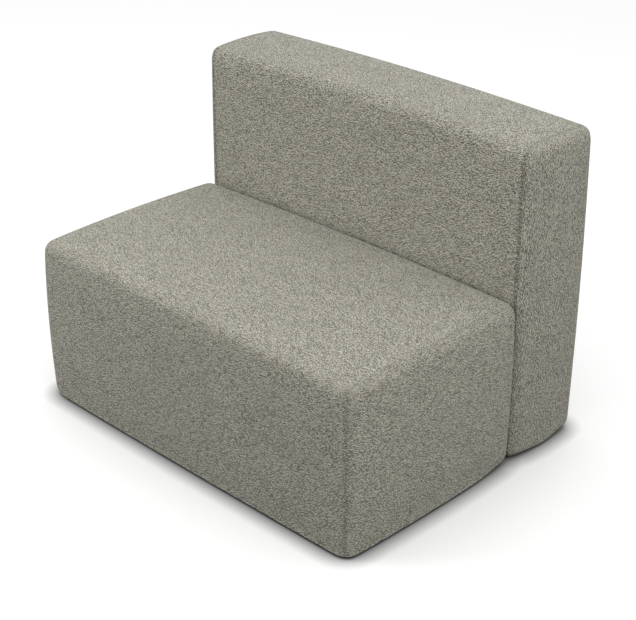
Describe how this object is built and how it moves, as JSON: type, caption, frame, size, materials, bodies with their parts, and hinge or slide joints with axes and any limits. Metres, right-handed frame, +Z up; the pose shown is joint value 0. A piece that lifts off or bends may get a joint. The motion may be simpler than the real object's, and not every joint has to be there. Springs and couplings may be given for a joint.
{
  "type": "loveseat",
  "caption": "Armless block loveseat: a low padded seat block with a tall padded back slab bolted behind it, in heathered tweed, on low levelling glides",
  "frame": {"origin": "on the floor, under the middle of the loveseat's outline", "axes": "+X to the loveseat's left-hand end as it is sat on, seen at right from the front; the front faces -Y; +Z up"},
  "size_m": [1.118, 0.848, 0.842],
  "materials": {
    "tweed_fabric": "matte woven heather",
    "black_lining": "matte non-woven",
    "black_nylon": "moulded",
    "foam": "open-cell foam",
    "felt": "needled felt",
    "webbing": "woven elastic",
    "spring_steel": "oiled",
    "zinc_steel": "zinc plated",
    "hardboard": "raw",
    "beech": "raw",
    "plywood": "raw"
  },
  "bodies": {
    "loveseat": {"back_corner_blocks": "beech", "back_cover": "tweed_fabric", "back_crossing_straps": "webbing", "back_dust_cover": "black_lining", "back_foam": "foam", "back_frame_screws": "zinc_steel", "back_front_rail": "plywood", "back_glide_nuts": "zinc_steel", "back_left_end_pad": "foam", "back_left_end_panel": "plywood", "back_lumbar_rail": "plywood", "back_middle_rail": "plywood", "back_post": "plywood", "back_rear_board": "hardboard", "back_rear_pad": "foam", "back_rear_rail": "plywood", "back_right_end_pad": "foam", "back_right_end_panel": "plywood", "back_top_board": "plywood", "back_top_pad": "foam", "back_upright_straps": "webbing", "joining_bolts": "zinc_steel", "joining_nuts": "zinc_steel", "joining_washers": "zinc_steel", "seat_corner_blocks": "beech", "seat_cover": "tweed_fabric", "seat_dust_cover": "black_lining", "seat_felt": "felt", "seat_foam": "foam", "seat_frame_screws": "zinc_steel", "seat_front_pad": "foam", "seat_front_rail": "plywood", "seat_glide_nuts": "zinc_steel", "seat_left_end_pad": "foam", "seat_left_side_board": "plywood", "seat_rear_rail": "plywood", "seat_right_end_pad": "foam", "seat_right_side_board": "plywood", "seat_spring_1": "spring_steel", "seat_spring_2": "spring_steel", "seat_spring_3": "spring_steel", "seat_spring_4": "spring_steel", "seat_spring_5": "spring_steel", "seat_spring_6": "spring_steel", "seat_spring_7": "spring_steel", "seat_spring_8": "spring_steel", "seat_spring_clips": "zinc_steel", "seat_stretcher": "plywood", "seat_tie_wires": "spring_steel"},
    "back_front_left_leveller": {"back_front_left_glide": "black_nylon"},
    "back_front_right_leveller": {"back_front_right_glide": "black_nylon"},
    "back_rear_left_leveller": {"back_rear_left_glide": "black_nylon"},
    "back_rear_right_leveller": {"back_rear_right_glide": "black_nylon"},
    "seat_front_left_leveller": {"seat_front_left_glide": "black_nylon"},
    "seat_front_right_leveller": {"seat_front_right_glide": "black_nylon"},
    "seat_rear_left_leveller": {"seat_rear_left_glide": "black_nylon"},
    "seat_rear_right_leveller": {"seat_rear_right_glide": "black_nylon"}
  },
  "joints": [
    {"name": "back_front_left_level", "type": "slide", "parent": "loveseat", "child": "back_front_left_leveller", "axis": [0, 0, -1], "range_m": [0, 0.012]},
    {"name": "back_front_right_level", "type": "slide", "parent": "loveseat", "child": "back_front_right_leveller", "axis": [0, 0, -1], "range_m": [0, 0.012]},
    {"name": "back_rear_left_level", "type": "slide", "parent": "loveseat", "child": "back_rear_left_leveller", "axis": [0, 0, -1], "range_m": [0, 0.012]},
    {"name": "back_rear_right_level", "type": "slide", "parent": "loveseat", "child": "back_rear_right_leveller", "axis": [0, 0, -1], "range_m": [0, 0.012]},
    {"name": "seat_front_left_level", "type": "slide", "parent": "loveseat", "child": "seat_front_left_leveller", "axis": [0, 0, -1], "range_m": [0, 0.012]},
    {"name": "seat_front_right_level", "type": "slide", "parent": "loveseat", "child": "seat_front_right_leveller", "axis": [0, 0, -1], "range_m": [0, 0.012]},
    {"name": "seat_rear_left_level", "type": "slide", "parent": "loveseat", "child": "seat_rear_left_leveller", "axis": [0, 0, -1], "range_m": [0, 0.012]},
    {"name": "seat_rear_right_level", "type": "slide", "parent": "loveseat", "child": "seat_rear_right_leveller", "axis": [0, 0, -1], "range_m": [0, 0.012]}
  ]
}
